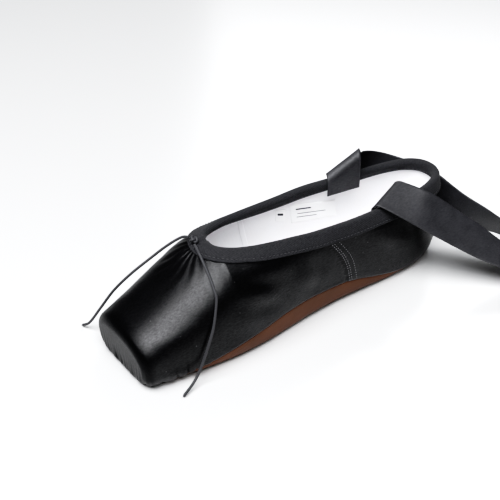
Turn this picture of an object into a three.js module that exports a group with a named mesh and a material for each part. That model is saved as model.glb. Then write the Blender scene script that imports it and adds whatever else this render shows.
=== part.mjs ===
// Pointe shoe, one shoe of a pair, standing empty on its sole.
// Millimetres. +Z is up, -Y is the toe end, +Y the heel end, X runs across the shoe.
// The origin is on the floor, under the middle of the shoe.
import * as THREE from 'three';

// ---- driving sizes -------------------------------------------------------
const SHOE_LENGTH = 240;
const PLATFORM_LEAN = 0.10;
const PLATFORM_TOP = 31;
const LEAN_FADE = 60;
const RIM_RADIUS = 4.5;
const THROAT = 62;
const HEEL_ROUND_START = 200;
const HEEL_PLAN_POWER = 2.25;
const HEEL_SETBACK_START = 180;
const UPPER_POWER = 2.35;

const UPPER_WALL = 2.0;
const BOX_WALL = 3.2;
const BOX_END = 52;
const BOX_FADE = 20;

const SOLE_INSET = 0.9;
const SOLE_THICKNESS = 3.2;
const INSOLE_THICKNESS = 2.0;
const MEET_GAP = 0.3;

const BINDING_THICKNESS = 1.1;
const BINDING_OUTER_DEPTH = 9.0;
const BINDING_INNER_DEPTH = 6.0;
const LINING_SPACE = 0.6;

const RIBBON_WIDTH = 24;
const RIBBON_THICKNESS = 0.8;
const RIBBON_STEPS = 2;
const CORD_DIAMETER = 1.6;
const CORD_SIDES = 8;
const KNOT_RADIUS = 3.2;
const KNOT_STRETCH = [1.15, 0.85, 0.8];
const KNOT_SEGMENTS = { round: 14, down: 10 };
const CORD_STEPS = 26;

// Lengthwise table of the last: station from the toe tip, greatest half width, height of that
// width, the underside, and how square the section is below its greatest width.
const LAST = [
  { station: 0, half: 27.0, wide: 13.0, base: 0.4, square: 3.6 },
  { station: 8, half: 28.8, wide: 14.0, base: -0.2, square: 3.6 },
  { station: 22, half: 31.0, wide: 16.0, base: -1.7, square: 3.8 },
  { station: 42, half: 33.6, wide: 18.0, base: -1.7, square: 4.6 },
  { station: 62, half: 34.8, wide: 20.0, base: -1.7, square: 5.5 },
  { station: 80, half: 34.0, wide: 21.5, base: -1.7, square: 6.0 },
  { station: 98, half: 31.8, wide: 22.0, base: -1.6, square: 6.5 },
  { station: 120, half: 29.2, wide: 22.0, base: -0.5, square: 7.0 },
  { station: 145, half: 28.0, wide: 21.5, base: 0.2, square: 7.5 },
  { station: 168, half: 28.2, wide: 20.5, base: -0.5, square: 7.0 },
  { station: 185, half: 28.6, wide: 19.5, base: -1.7, square: 6.0 },
  { station: 205, half: 28.0, wide: 19.0, base: -1.7, square: 5.0 },
  { station: 225, half: 26.4, wide: 19.0, base: -1.7, square: 4.4 },
  { station: 240, half: 25.5, wide: 19.0, base: -0.9, square: 4.0 },
];

// Ridge line of the vamp in front of the throat.
const VAMP = [
  { station: 0, crest: 30.5 },
  { station: 10, crest: 34.5 },
  { station: 25, crest: 42.0 },
  { station: 45, crest: 54.0 },
  { station: 55, crest: 60.2 },
  { station: 62, crest: 63.5 },
];

// Top edge of the shoe behind the throat: its height, and how far open the last is there, from
// zero at the throat to one at the full width of the last.
const COLLAR = [
  { station: 62, height: 63.5, open: 0.0 },
  { station: 68, height: 62.8, open: 0.07 },
  { station: 80, height: 61.6, open: 0.17 },
  { station: 104, height: 59.4, open: 0.35 },
  { station: 125, height: 57.4, open: 0.55 },
  { station: 150, height: 56.0, open: 0.7 },
  { station: 180, height: 54.4, open: 0.57 },
  { station: 210, height: 53.4, open: 0.46 },
  { station: 240, height: 53.4, open: 0.59 },
];

// Line where the satin ends above the sole leather.
const FEATHER = [
  { station: 0, height: -6.0 },
  { station: 12, height: 0.2 },
  { station: 25, height: 4.2 },
  { station: 45, height: 8.6 },
  { station: 70, height: 13.4 },
  { station: 105, height: 17.4 },
  { station: 145, height: 15.4 },
  { station: 175, height: 8.2 },
  { station: 200, height: 3.6 },
  { station: 240, height: 2.6 },
];

// Back of the heel: how far each height lies in front of the rearmost point.
const HEEL_BACK = [
  { height: -6, setback: 9.0 },
  { height: 0, setback: 6.0 },
  { height: 8, setback: 2.6 },
  { height: 22, setback: 0.2 },
  { height: 36, setback: 0.0 },
  { height: 58, setback: 1.4 },
  { height: 90, setback: 6.0 },
];

// ---- curves through the tables -------------------------------------------
function slopeAt(table, key, value, index) {
  const last = table.length - 1;
  const rise = (i) => (table[i + 1][value] - table[i][value]) / (table[i + 1][key] - table[i][key]);
  if (index === 0) {
    return rise(0);
  }
  if (index === last) {
    return rise(last - 1);
  }
  const before = rise(index - 1);
  const after = rise(index);
  if (before * after <= 0) {
    return 0;
  }
  return (2 * before * after) / (before + after);
}

// Smooth curve without overshoot through one named column of a table.
function column(table, key, value, position) {
  const last = table.length - 1;
  if (position <= table[0][key]) {
    return table[0][value];
  }
  if (position >= table[last][key]) {
    return table[last][value];
  }
  let index = 0;
  while (position > table[index + 1][key]) {
    index += 1;
  }
  const width = table[index + 1][key] - table[index][key];
  const t = (position - table[index][key]) / width;
  const start = table[index][value];
  const end = table[index + 1][value];
  const startSlope = slopeAt(table, key, value, index) * width;
  const endSlope = slopeAt(table, key, value, index + 1) * width;
  const a = 2 * start - 2 * end + startSlope + endSlope;
  const b = 3 * end - 3 * start - 2 * startSlope - endSlope;
  return a * t * t * t + b * t * t + startSlope * t + start;
}

function ramp(value) {
  const t = Math.min(Math.max(value, 0), 1);
  return t * t * (3 - 2 * t);
}

function collarHeight(station) {
  return column(COLLAR, 'station', 'height', station);
}

function featherHeight(station) {
  return column(FEATHER, 'station', 'height', station);
}

// ---- the last: one closed form that every layer is worked out from ---------
function crestHeight(station, wide) {
  if (station <= THROAT) {
    return column(VAMP, 'station', 'crest', station);
  }
  const reach = Math.pow(1 - column(COLLAR, 'station', 'open', station), 1 / UPPER_POWER);
  return wide + (collarHeight(station) - wide) / reach;
}

// Station measured along the last, from its leaning platform to its curved heel back.
function lastStation(station, z) {
  const lean = Math.pow(Math.max(0, 1 - station / LEAN_FADE), 2);
  const back = ramp((station - HEEL_SETBACK_START) / (SHOE_LENGTH - HEEL_SETBACK_START));
  const setback = column(HEEL_BACK, 'height', 'setback', z) * back;
  return station - PLATFORM_LEAN * (PLATFORM_TOP - z) * lean + setback;
}

// Negative inside the last, positive outside it.
function outsideLast(x, station, z) {
  const along = lastStation(station, z);
  const toEnd = SHOE_LENGTH - along;
  if (along <= 0 || toEnd <= 0) {
    return Math.max(-along, -toEnd) / RIM_RADIUS;
  }
  const wide = column(LAST, 'station', 'wide', along);
  let half = column(LAST, 'station', 'half', along);
  if (along > HEEL_ROUND_START) {
    const part = (along - HEEL_ROUND_START) / (SHOE_LENGTH - HEEL_ROUND_START);
    half *= Math.pow(1 - Math.pow(part, HEEL_PLAN_POWER), 1 / HEEL_PLAN_POWER);
  }
  let shrink = 0;
  if (along < RIM_RADIUS) {
    shrink = RIM_RADIUS - Math.sqrt(RIM_RADIUS ** 2 - (RIM_RADIUS - along) ** 2);
  }
  const above = z > wide;
  const power = above ? UPPER_POWER : column(LAST, 'station', 'square', along);
  const reach = above ? crestHeight(along, wide) - wide : wide - column(LAST, 'station', 'base', along);
  const across = Math.abs(x) / Math.max(half - shrink, 0.01);
  const up = Math.abs(z - wide) / (reach - shrink);
  return Math.pow(Math.pow(across, power) + Math.pow(up, power), 1 / power) - 1;
}

// ---- meridians: lines that run down the last from the collar to the sole ----
const SPINE_HEIGHT = 21;
const TOE_FAN_STATION = 73;
const HEEL_FAN_STATION = 204;
const RAY_LENGTH = 160;
const BISECTIONS = 34;
const FINE_STEPS = 56;
const TURN_WEIGHT = 14;
const NORMAL_STEP = 0.8;

// Point where a ray from the spine at a station leaves the last.
function hitLast(station, direction) {
  let near = 0;
  let far = RAY_LENGTH;
  const at = (distance) => ({
    x: direction.x * distance,
    station: station + direction.y * distance,
    z: SPINE_HEIGHT + direction.z * distance,
  });
  for (let i = 0; i < BISECTIONS; i += 1) {
    const middle = (near + far) / 2;
    const p = at(middle);
    if (outsideLast(p.x, p.station, p.z) > 0) {
      far = middle;
    } else {
      near = middle;
    }
  }
  return { ...at(near), distance: near };
}

function rayDirection(heading, elevation) {
  const level = Math.cos(elevation);
  const x = Math.cos(heading) * level;
  const y = Math.sin(heading) * level;
  return new THREE.Vector3(x, y, Math.sin(elevation));
}

function meridianHit(meridian, elevation) {
  return hitLast(meridian.station, rayDirection(meridian.heading, elevation));
}

// Elevation at which the meridian crosses the surface that the test describes.
function crossing(meridian, start, end, isPast) {
  let before = start;
  let past = end;
  for (let i = 0; i < BISECTIONS; i += 1) {
    const middle = (before + past) / 2;
    if (isPast(meridianHit(meridian, middle))) {
      past = middle;
    } else {
      before = middle;
    }
  }
  return (before + past) / 2;
}

// Outward normal at a hit, from the hits of four neighbouring rays.
function lastNormal(meridian, elevation, distance) {
  const direction = rayDirection(meridian.heading, elevation);
  const upward = rayDirection(meridian.heading, elevation + Math.PI / 2);
  const sideways = new THREE.Vector3().crossVectors(upward, direction);
  const span = (across) => {
    const [ahead, behind] = [1, -1].map((sign) => {
      const step = (sign * NORMAL_STEP) / distance;
      const turned = direction.clone().addScaledVector(across, step).normalize();
      const p = hitLast(meridian.station, turned);
      return new THREE.Vector3(p.x, p.station, p.z);
    });
    return ahead.sub(behind);
  };
  const normal = span(upward).cross(span(sideways)).normalize();
  return normal.dot(direction) < 0 ? normal.negate() : normal;
}

// Stretch of a meridian between two elevations, with its length and surface normals.
function stretch(meridian, start, end) {
  const points = [];
  let length = 0;
  let measure = 0;
  for (let i = 0; i <= FINE_STEPS; i += 1) {
    const elevation = start + ((end - start) * i) / FINE_STEPS;
    const hit = meridianHit(meridian, elevation);
    const place = new THREE.Vector3(hit.x, hit.station - SHOE_LENGTH / 2, hit.z);
    const normal = lastNormal(meridian, elevation, hit.distance);
    if (i > 0) {
      const previous = points[i - 1];
      const run = place.distanceTo(previous.place);
      length += run;
      measure += run + TURN_WEIGHT * normal.angleTo(previous.normal);
    }
    points.push({ place, normal, length, measure });
  }
  return points;
}

// Sample of a stretch at a length or measure; before its start it runs on straight.
function sample(points, key, value) {
  let index = 0;
  while (index < points.length - 2 && value > points[index + 1][key]) {
    index += 1;
  }
  const from = points[index];
  const to = points[index + 1];
  const t = (value - from[key]) / (to[key] - from[key]);
  const place = from.place.clone().lerp(to.place, t);
  const normal = from.normal.clone().lerp(to.normal, Math.min(Math.max(t, 0), 1)).normalize();
  return { place, normal };
}

function lifted(point, height) {
  return point.place.clone().addScaledVector(point.normal, height);
}

// Headings of the meridians in the toe fan, from dead ahead to square across, in degrees.
const TOE_HEADINGS = [-90, -84, -78, -73.5, -70, -66, -61, -54, -46, -36, -25, -12];
const SIDE_STEPS = 12;
const HEEL_HEADINGS = [12, 24, 36, 47, 57, 66, 74, 82, 90];

function layOutMeridians() {
  const half = TOE_HEADINGS.map((heading) => ({ station: TOE_FAN_STATION, heading }));
  for (let i = 0; i <= SIDE_STEPS; i += 1) {
    const station = TOE_FAN_STATION + ((HEEL_FAN_STATION - TOE_FAN_STATION) * i) / SIDE_STEPS;
    half.push({ station, heading: 0 });
  }
  HEEL_HEADINGS.forEach((heading) => half.push({ station: HEEL_FAN_STATION, heading }));
  const mirrored = half.slice(1, -1).reverse();
  const other = mirrored.map(({ station, heading }) => ({ station, heading: 180 - heading }));
  return [...half, ...other].map(({ station, heading }) => ({
    station,
    heading: THREE.MathUtils.degToRad(heading),
  }));
}

function cutMeridian(meridian) {
  const up = Math.PI / 2;
  const level = 0;
  const collar = crossing(meridian, up, level, (p) => p.z <= collarHeight(p.station));
  const feather = crossing(meridian, level, -up, (p) => p.z <= featherHeight(p.station));
  return {
    side: stretch(meridian, collar, feather),
    under: stretch(meridian, feather, -up),
  };
}

const MERIDIANS = layOutMeridians().map(cutMeridian);

// ---- meshes ------------------------------------------------------------------
const WELD = 1e-3;

// Closed mesh from rings of points. Each ring is joined to the next, and the last to the first
// where `closed` says so; points that coincide are welded and empty triangles dropped. Quads in
// a `mirrored` column are cut along their other diagonal.
function ringMesh(rings, closed, mirrored = () => false) {
  const positions = [];
  const known = new Map();
  const indexOf = (p) => {
    const key = [p.x, p.y, p.z].map((v) => Math.round(v / WELD)).join(',');
    if (!known.has(key)) {
      known.set(key, positions.length / 3);
      positions.push(p.x, p.y, p.z);
    }
    return known.get(key);
  };
  const ids = rings.map((ring) => ring.map(indexOf));
  const triangles = [];
  const addTriangle = (a, b, c) => {
    if (a !== b && b !== c && c !== a) {
      triangles.push(a, b, c);
    }
  };
  const steps = closed ? ids.length : ids.length - 1;
  for (let r = 0; r < steps; r += 1) {
    const ring = ids[r];
    const next = ids[(r + 1) % ids.length];
    for (let m = 0; m < ring.length; m += 1) {
      const n = (m + 1) % ring.length;
      if (mirrored(m)) {
        addTriangle(ring[m], next[m], ring[n]);
        addTriangle(next[m], next[n], ring[n]);
      } else {
        addTriangle(ring[m], next[m], next[n]);
        addTriangle(ring[m], next[n], ring[n]);
      }
    }
  }
  return outwardGeometry(positions, triangles);
}

function outwardGeometry(positions, triangles) {
  const corner = (i) => new THREE.Vector3().fromArray(positions, triangles[i] * 3);
  let volume = 0;
  for (let i = 0; i < triangles.length; i += 3) {
    volume += corner(i).dot(corner(i + 1).cross(corner(i + 2)));
  }
  const ordered = volume > 0 ? triangles : triangles.slice().reverse();
  const geometry = new THREE.BufferGeometry();
  geometry.setAttribute('position', new THREE.Float32BufferAttribute(positions, 3));
  geometry.setIndex(ordered);
  geometry.computeVertexNormals();
  return geometry;
}

// ---- upper -------------------------------------------------------------------
const UPPER_ROWS = 16;

function wallAt(place) {
  const station = place.y + SHOE_LENGTH / 2;
  return BOX_WALL + (UPPER_WALL - BOX_WALL) * ramp((station - BOX_END) / BOX_FADE);
}

function onFloor(place) {
  place.z = Math.max(place.z, 0);
  return place;
}

function upperGeometry() {
  const outer = [];
  const inner = [];
  for (let row = 0; row <= UPPER_ROWS; row += 1) {
    const samples = MERIDIANS.map(({ side }) => {
      const last = side[side.length - 1];
      if (row === UPPER_ROWS) {
        return sample(side, 'length', last.length - MEET_GAP / 2);
      }
      return sample(side, 'measure', (last.measure * row) / UPPER_ROWS);
    });
    outer.push(samples.map((point) => onFloor(lifted(point, 0))));
    inner.push(samples.map((point) => lifted(point, -wallAt(point.place))));
  }
  return ringMesh([...outer, ...inner.reverse()], true);
}

// ---- outsole -----------------------------------------------------------------
const OUTSOLE_ROWS = 7;
const SOLE_EDGE_THICKNESS = 1.2;
const SOLE_BEVEL = 0.5; // share of the half width over which the sole thins to its edge

function outsoleGeometry() {
  const outer = [];
  const inner = [];
  for (let row = 0; row <= OUTSOLE_ROWS; row += 1) {
    const part = row / OUTSOLE_ROWS;
    const gain = ramp(part / SOLE_BEVEL);
    const thickness = SOLE_EDGE_THICKNESS + (SOLE_THICKNESS - SOLE_EDGE_THICKNESS) * gain;
    const samples = MERIDIANS.map(({ under }) => {
      if (row === 0) {
        return sample(under, 'length', MEET_GAP);
      }
      return sample(under, 'measure', under[under.length - 1].measure * part);
    });
    outer.push(samples.map((point) => onFloor(lifted(point, -SOLE_INSET))));
    inner.push(samples.map((point) => lifted(point, -SOLE_INSET - thickness)));
  }
  return ringMesh([...outer.reverse(), ...inner], false);
}

// ---- insole ------------------------------------------------------------------
const INSOLE_ROWS = 4;
const INSOLE_EDGE = 0.8;
const INSOLE_LIFT = SOLE_INSET + SOLE_THICKNESS + MEET_GAP;

function insoleTop(place) {
  const base = column(LAST, 'station', 'base', place.y + SHOE_LENGTH / 2);
  return base + INSOLE_LIFT + INSOLE_THICKNESS;
}

function insoleGeometry() {
  const starts = MERIDIANS.map(({ under }) => {
    const isLow = (point) => {
      const place = lifted(point, -INSOLE_LIFT);
      return place.z <= insoleTop(place) - INSOLE_EDGE;
    };
    return under.findIndex(isLow);
  });
  const rings = [];
  for (let row = INSOLE_ROWS; row >= 0; row -= 1) {
    const ring = MERIDIANS.map(({ under }, m) => {
      const last = under.length - 1;
      const start = under[starts[m]].measure;
      const value = start + ((under[last].measure - start) * row) / INSOLE_ROWS;
      return lifted(sample(under, 'measure', value), -INSOLE_LIFT);
    });
    rings.push(ring);
  }
  const edge = rings[rings.length - 1];
  const centre = rings[0];
  [0, 0.5, 1].forEach((inward) => {
    const ring = edge.map((place, m) => {
      const moved = place.clone().lerp(centre[m], inward);
      moved.z = insoleTop(moved);
      return moved;
    });
    rings.push(ring);
  });
  return ringMesh(rings, false);
}

// ---- binding -----------------------------------------------------------------
// Section of the folded tape: distance down from the edge of the upper, the face of the wall
// that it is measured from, and how far it stands off that face.
function bindingSection() {
  const out = MEET_GAP + BINDING_THICKNESS;
  const inner = LINING_SPACE + BINDING_THICKNESS;
  const fold = BINDING_THICKNESS * Math.SQRT1_2;
  const deep = BINDING_OUTER_DEPTH;
  const inside = BINDING_INNER_DEPTH;
  return [
    { down: deep, face: 0, off: out },
    { down: deep / 2, face: 0, off: out },
    { down: MEET_GAP, face: 0, off: out },
    { down: -MEET_GAP - fold, face: 0, off: fold },
    { down: -out, face: 0.5, off: 0 },
    { down: -MEET_GAP - fold, face: 1, off: -fold },
    { down: MEET_GAP, face: 1, off: -inner },
    { down: inside / 2, face: 1, off: -inner },
    { down: inside, face: 1, off: -inner },
    { down: inside, face: 1, off: -LINING_SPACE },
    { down: inside / 2, face: 1, off: -LINING_SPACE },
    { down: -MEET_GAP, face: 1, off: -LINING_SPACE },
    { down: -MEET_GAP, face: 0, off: MEET_GAP },
    { down: deep / 2, face: 0, off: MEET_GAP },
    { down: deep, face: 0, off: MEET_GAP },
  ];
}

function bindingGeometry() {
  const rings = bindingSection().map(({ down, face, off }) => MERIDIANS.map(({ side }) => {
    const point = sample(side, 'length', down);
    return lifted(point, off - face * wallAt(point.place));
  }));
  return ringMesh(rings, true);
}

// ---- ribbons -----------------------------------------------------------------
// Each ribbon comes up flat against the lining, rolls over the collar along a slanted crest and
// runs on behind the heel. `side` is +1 on the near flank and -1 on the far flank; `crest` is
// the middle of the fold. `slant` is the rise of the crest towards the heel, `lean` how far it
// swings inwards there and `turn` how far round the ribbon rolls, all in degrees.
const NEAR_FOLD = {
  side: 1, crest: [16.2, 61.5, 57.2], slant: 15, lean: 15, turn: 112, roll: 4.3, sewn: 14,
};
const FAR_FOLD = {
  side: -1, crest: [-17.4, 59.5, 59.8], slant: 27, lean: 8, turn: 104, roll: 4.3, sewn: 14,
};
const FOLD_ROWS = 6;

// Centre line behind the fold, the direction up across the ribbon, and the free end last.
const NEAR_ROUTE = [
  { x: 36, y: 76, z: 54.5, across: [-0.35, 0.81, 0.47] },
  { x: 43, y: 88, z: 45, across: [-0.36, 0.8, 0.47] },
  { x: 49, y: 97, z: 37.5, across: [-0.35, 0.87, 0.35] },
  { x: 56, y: 106, z: 30.5, across: [-0.35, 0.91, 0.2] },
  { x: 64, y: 115, z: 23.5, across: [-0.36, 0.93, 0.05] },
  { x: 72, y: 122.5, z: 18.5, across: [-0.38, 0.92, 0] },
  { x: 82, y: 131, z: 14.5, across: [-0.4, 0.87, 0.25] },
  { x: 93, y: 139.5, z: 12.6, across: [-0.4, 0.65, 0.65] },
  { x: 105, y: 148.5, z: 12.4, across: [-0.3, 0.35, 0.9] },
  { x: 118, y: 161, z: 12.4, across: [-0.25, 0.15, 0.96] },
  { x: 125, y: 178, z: 12.4, across: [-0.25, 0, 0.97] },
  { x: 121, y: 196, z: 12.4, across: [-0.2, -0.1, 0.97] },
  { x: 107, y: 209, z: 12.4, across: [-0.1, -0.2, 0.97] },
  { x: 88, y: 216, z: 12.2, across: [0, -0.3, 0.95] },
  { x: 68, y: 221, z: 11.6, across: [0, -0.4, 0.91] },
  { x: 49, y: 227, z: 11.4, across: [0, -0.42, 0.9] },
  { x: 33, y: 237, z: 12.1, across: [0, -0.2, 0.98] },
  { x: 26, y: 251, z: 12.6, across: [0, 0, 1] },
  { x: 32, y: 265, z: 12.4, across: [-0.1, 0.2, 0.97] },
  { x: 47, y: 274, z: 10.4, across: [-0.1, 0.55, 0.82] },
  { x: 65, y: 277, z: 6.6, across: [0, 0.87, 0.48] },
  { x: 84, y: 277, z: 2.2, across: [0.03, 1, 0.08] },
];
const FAR_ROUTE = [
  { x: -25.5, y: 68, z: 60, across: [0.25, 0.84, 0.48] },
  { x: -29.5, y: 76, z: 54.5, across: [0.2, 0.72, 0.66] },
  { x: -32.5, y: 87, z: 48.5, across: [0.15, 0.5, 0.85] },
  { x: -31.5, y: 98, z: 43.5, across: [0.1, 0.3, 0.95] },
  { x: -25.5, y: 109, z: 39, across: [0, 0.15, 0.99] },
  { x: -17, y: 118, z: 35.5, across: [-0.05, 0.05, 1] },
  { x: -6.5, y: 124.5, z: 32.5, across: [-0.1, 0, 1] },
  { x: 5.5, y: 128.5, z: 28.5, across: [-0.05, -0.05, 1] },
  { x: 18, y: 133, z: 24.2, across: [0.05, -0.15, 0.98] },
  { x: 30.5, y: 139.5, z: 20.2, across: [0.2, -0.3, 0.93] },
  { x: 43, y: 147.5, z: 16, across: [0.36, -0.4, 0.84] },
  { x: 55.5, y: 156.5, z: 13.2, across: [0.25, -0.25, 0.93] },
  { x: 68, y: 165.5, z: 12.5, across: [0.05, -0.05, 1] },
  { x: 80, y: 175.5, z: 12.5, across: [-0.1, 0.05, 0.99] },
  { x: 86, y: 187, z: 12.6, across: [-0.1, 0, 0.99] },
  { x: 80.5, y: 197.5, z: 12.6, across: [0, -0.05, 1] },
  { x: 68, y: 200.5, z: 12.4, across: [0.05, -0.15, 0.98] },
  { x: 54, y: 196.5, z: 12.1, across: [0.08, -0.22, 0.97] },
  { x: 40, y: 190.5, z: 12, across: [0.08, -0.25, 0.96] },
  { x: 25, y: 187, z: 12.1, across: [0, -0.22, 0.97] },
  { x: 11, y: 190, z: 12.6, across: [0, 0, 1] },
  { x: 4, y: 200.5, z: 12.6, across: [0, 0, 1] },
  { x: 9, y: 212, z: 12.6, across: [0, 0.1, 0.99] },
];

// Lines across the ribbon from the sewn end to the end of the roll, as pairs of edge points.
function foldedEdges({ side, crest, slant, lean, turn, roll, sewn }) {
  const tilt = THREE.MathUtils.degToRad(slant);
  const swing = THREE.MathUtils.degToRad(lean) * side;
  const upright = new THREE.Vector3(0, 0, 1);
  const turned = (x, y, z) => new THREE.Vector3(x, y, z).applyAxisAngle(upright, swing);
  const along = turned(0, Math.cos(tilt), Math.sin(tilt));
  const rise = turned(0, -Math.sin(tilt), Math.cos(tilt));
  const out = turned(side, 0, 0);
  const middle = new THREE.Vector3(...crest);
  const reach = RIBBON_WIDTH / (2 * Math.cos(tilt));
  const rows = [sewn, sewn / 2].map((depth) => {
    const centre = middle.clone().setZ(middle.z - depth);
    const level = turned(0, RIBBON_WIDTH / 2, 0);
    return { low: centre.clone().sub(level), high: centre.clone().add(level) };
  });
  for (let i = 0; i <= FOLD_ROWS; i += 1) {
    const angle = THREE.MathUtils.degToRad((turn * i) / FOLD_ROWS);
    const centre = middle.clone()
      .addScaledVector(rise, Math.sin(angle) * roll)
      .addScaledVector(out, (1 - Math.cos(angle)) * roll)
      .addScaledVector(along, angle * roll * Math.tan(tilt));
    rows.push({
      low: centre.clone().addScaledVector(along, -reach),
      high: centre.clone().addScaledVector(along, reach),
    });
  }
  return rows;
}

function routeEdges(route) {
  const line = new THREE.CatmullRomCurve3(route.map(({ x, y, z }) => new THREE.Vector3(x, y, z)));
  return route.map(({ across }, i) => {
    const t = i / (route.length - 1);
    const centre = line.getPoint(t);
    const tangent = line.getTangent(t);
    const up = new THREE.Vector3(...across);
    up.addScaledVector(tangent, -up.dot(tangent)).setLength(RIBBON_WIDTH / 2);
    return { low: centre.clone().sub(up), high: centre.clone().add(up) };
  });
}

// The two faces are cut along matching diagonals, so a twist keeps the ribbon's thickness.
function ribbonGeometry(fold, route) {
  const secondFace = (column) => column === 2;
  const rows = [...foldedEdges(fold), ...routeEdges(route)];
  const lowEdge = new THREE.CatmullRomCurve3(rows.map(({ low }) => low));
  const highEdge = new THREE.CatmullRomCurve3(rows.map(({ high }) => high));
  const steps = (rows.length - 1) * RIBBON_STEPS;
  const rings = [];
  for (let i = 0; i <= steps; i += 1) {
    const t = i / steps;
    const low = lowEdge.getPoint(t);
    const high = highEdge.getPoint(t);
    const tangent = lowEdge.getTangent(t).add(highEdge.getTangent(t));
    const face = tangent.cross(high.clone().sub(low)).setLength(RIBBON_THICKNESS / 2);
    rings.push([
      low.clone().sub(face), high.clone().sub(face), high.clone().add(face), low.clone().add(face),
    ]);
  }
  const capped = (ring) => ring.map(() => ring[0]);
  return ringMesh([capped(rings[0]), ...rings, capped(rings[steps])], false, secondFace);
}

// ---- drawstring ----------------------------------------------------------------
// Route of each free end, from the knot to its tip.
const DRAWSTRING_NEAR = [
  [-1.6, -65.0, 64.6],
  [6.4, -66.6, 62.0],
  [17.2, -68.6, 56.4],
  [24.6, -70.0, 50.8],
  [28.4, -71.2, 46.2],
  [33.2, -76.6, 34.0],
  [35.0, -81.0, 25.6],
  [35.2, -86.0, 13.4],
  [36.8, -92.5, 5.0],
  [40.4, -102.8, 1.2],
];
const DRAWSTRING_FAR = [
  [-9.4, -63.8, 65.0],
  [-14.0, -66.0, 63.0],
  [-18.5, -73.0, 57.6],
  [-22.5, -83.0, 50.0],
  [-25.5, -94.0, 42.5],
  [-29.0, -104.0, 33.0],
  [-35.0, -111.0, 19.0],
  [-42.0, -115.5, 6.0],
  [-47.8, -118.0, 1.2],
];
const KNOT_PLACE = [-5.2, -63.2, 65.4];

function cordGeometry(route) {
  const path = new THREE.CatmullRomCurve3(route.map((p) => new THREE.Vector3(...p)));
  const section = new THREE.Shape();
  for (let i = 0; i < CORD_SIDES; i += 1) {
    const angle = (2 * Math.PI * i) / CORD_SIDES;
    const x = (Math.cos(angle) * CORD_DIAMETER) / 2;
    const y = (Math.sin(angle) * CORD_DIAMETER) / 2;
    if (i === 0) {
      section.moveTo(x, y);
    } else {
      section.lineTo(x, y);
    }
  }
  section.closePath();
  return new THREE.ExtrudeGeometry(section, { steps: CORD_STEPS, extrudePath: path });
}

function knotGeometry() {
  const geometry = new THREE.SphereGeometry(KNOT_RADIUS, KNOT_SEGMENTS.round, KNOT_SEGMENTS.down);
  geometry.scale(...KNOT_STRETCH);
  geometry.translate(...KNOT_PLACE);
  return geometry;
}

// ---- shoe --------------------------------------------------------------------
function part(name, geometry, colour, roughness) {
  const material = new THREE.MeshStandardMaterial({ color: colour, roughness, metalness: 0 });
  const mesh = new THREE.Mesh(geometry, material);
  mesh.name = name;
  return mesh;
}

const shoe = new THREE.Group();
shoe.name = 'pointe_shoe';
shoe.add(part('upper', upperGeometry(), '#141416', 0.35));
shoe.add(part('outsole', outsoleGeometry(), '#6b4636', 0.75));
shoe.add(part('insole', insoleGeometry(), '#e9e7e2', 0.85));
shoe.add(part('binding', bindingGeometry(), '#1c1c1e', 0.9));
shoe.add(part('drawstring_knot', knotGeometry(), '#202022', 0.7));
shoe.add(part('drawstring_end_near', cordGeometry(DRAWSTRING_NEAR), '#202022', 0.7));
shoe.add(part('drawstring_end_far', cordGeometry(DRAWSTRING_FAR), '#202022', 0.7));
shoe.add(part('ribbon_near', ribbonGeometry(NEAR_FOLD, NEAR_ROUTE), '#26262a', 0.6));
shoe.add(part('ribbon_far', ribbonGeometry(FAR_FOLD, FAR_ROUTE), '#26262a', 0.6));

export default shoe;
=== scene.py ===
"""Black satin pointe shoe standing empty on its sole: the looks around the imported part.

Sizes below are in millimetres, in the part's own frame: the toe is towards -Y, the heel towards +Y, up is +Z
and the origin is on the floor under the middle of the shoe. Meshes are made in metres.
"""
import math

import bmesh
import bpy
import numpy as np
from mathutils import Matrix, Vector


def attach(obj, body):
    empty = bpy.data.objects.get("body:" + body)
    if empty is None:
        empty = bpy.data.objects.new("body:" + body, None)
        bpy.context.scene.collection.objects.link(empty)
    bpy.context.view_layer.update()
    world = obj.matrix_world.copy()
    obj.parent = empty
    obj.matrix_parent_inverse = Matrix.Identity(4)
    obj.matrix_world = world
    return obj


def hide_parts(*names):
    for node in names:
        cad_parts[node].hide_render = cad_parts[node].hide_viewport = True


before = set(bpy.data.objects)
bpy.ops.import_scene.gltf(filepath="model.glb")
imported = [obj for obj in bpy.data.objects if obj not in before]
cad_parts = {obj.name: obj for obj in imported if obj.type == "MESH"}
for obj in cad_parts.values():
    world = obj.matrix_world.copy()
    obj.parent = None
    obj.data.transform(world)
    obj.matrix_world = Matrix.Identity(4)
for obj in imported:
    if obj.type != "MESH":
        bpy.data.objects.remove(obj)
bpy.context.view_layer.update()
rng = np.random.default_rng(11)
MM = 0.001


def unit(vectors):
    return vectors / np.linalg.norm(vectors, axis=-1, keepdims=True)


def bell(value, width, power=2):
    """One at zero, fading out over the width on both sides."""
    return np.exp(-((value / width) ** power))


def add_object(name, data):
    obj = bpy.data.objects.new(name, data)
    bpy.context.collection.objects.link(obj)
    return obj


# ---- camera ----
CAMERA_AZIMUTH = 53.8
CAMERA_ELEVATION = 35.2
CAMERA_DISTANCE = 628.7
CAMERA_SLIDE = 22.2
CAMERA_RISE = -7.9
CAMERA_AIM_HEIGHT = 25.0
CAMERA_LENS = 73.67


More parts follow.
